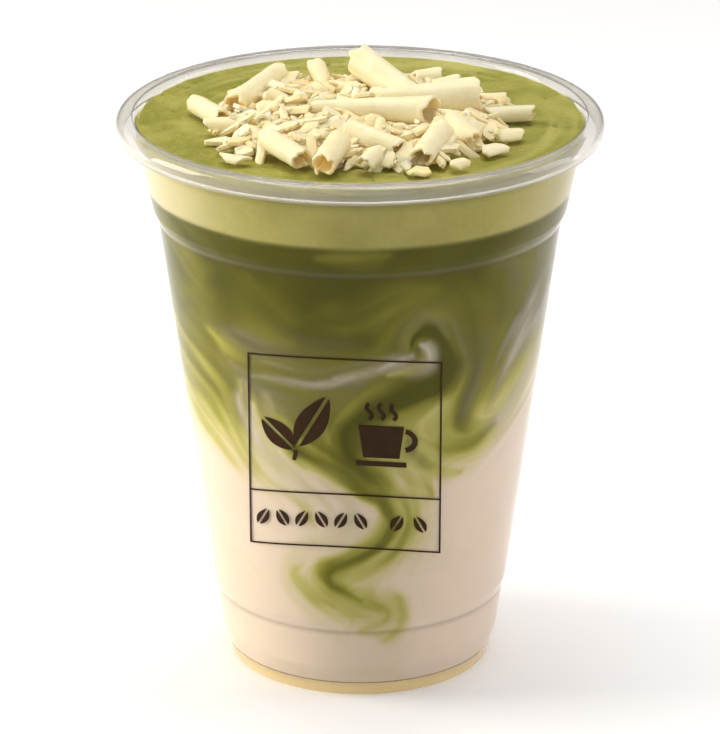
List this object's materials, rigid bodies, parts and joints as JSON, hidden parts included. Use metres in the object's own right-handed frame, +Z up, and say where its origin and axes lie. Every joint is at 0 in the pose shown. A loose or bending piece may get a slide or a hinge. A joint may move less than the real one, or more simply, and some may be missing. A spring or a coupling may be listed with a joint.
{
  "type": "matcha latte in a clear plastic cup",
  "caption": "Iced matcha latte with swirled milk, pale foam and white chocolate curls in a clear tapered cup.",
  "frame": {"origin": "middle of the cup's standing ring, on the table", "axes": "+Z up along the cup's axis; -Y is the side with the printed frame; +X to its right"},
  "size_m": [0.098, 0.098, 0.1259],
  "materials": {
    "clear_plastic": "clear thermoformed plastic, glossy",
    "milk": "milk clouded with matcha, seen through the cup",
    "matcha": "strong green tea, cloudy, with pale wisps of milk",
    "foam": "pale fine froth, green at its top edge",
    "green_top": "moist green froth dusted with tea powder",
    "white_chocolate": "white chocolate, satin, with drawn scraper lines",
    "print_ink": "dark brown ink printed on the cup"
  },
  "bodies": {
    "root": {"cup": "clear_plastic", "milk": "milk", "matcha": "matcha", "foam": "foam", "dusting": "green_top", "shavings": "white_chocolate", "curl_01": "white_chocolate", "curl_02": "white_chocolate", "curl_03": "white_chocolate", "curl_04": "white_chocolate", "curl_05": "white_chocolate", "curl_06": "white_chocolate", "curl_07": "white_chocolate", "curl_08": "white_chocolate", "curl_09": "white_chocolate", "curl_10": "white_chocolate", "curl_11": "white_chocolate", "curl_12": "white_chocolate", "curl_13": "white_chocolate", "curl_14": "white_chocolate", "curl_15": "white_chocolate", "curl_16": "white_chocolate", "curl_17": "white_chocolate", "curl_18": "white_chocolate", "curl_19": "white_chocolate", "curl_20": "white_chocolate", "curl_21": "white_chocolate", "curl_22": "white_chocolate", "curl_23": "white_chocolate", "curl_24": "white_chocolate"}
  },
  "joints": []
}
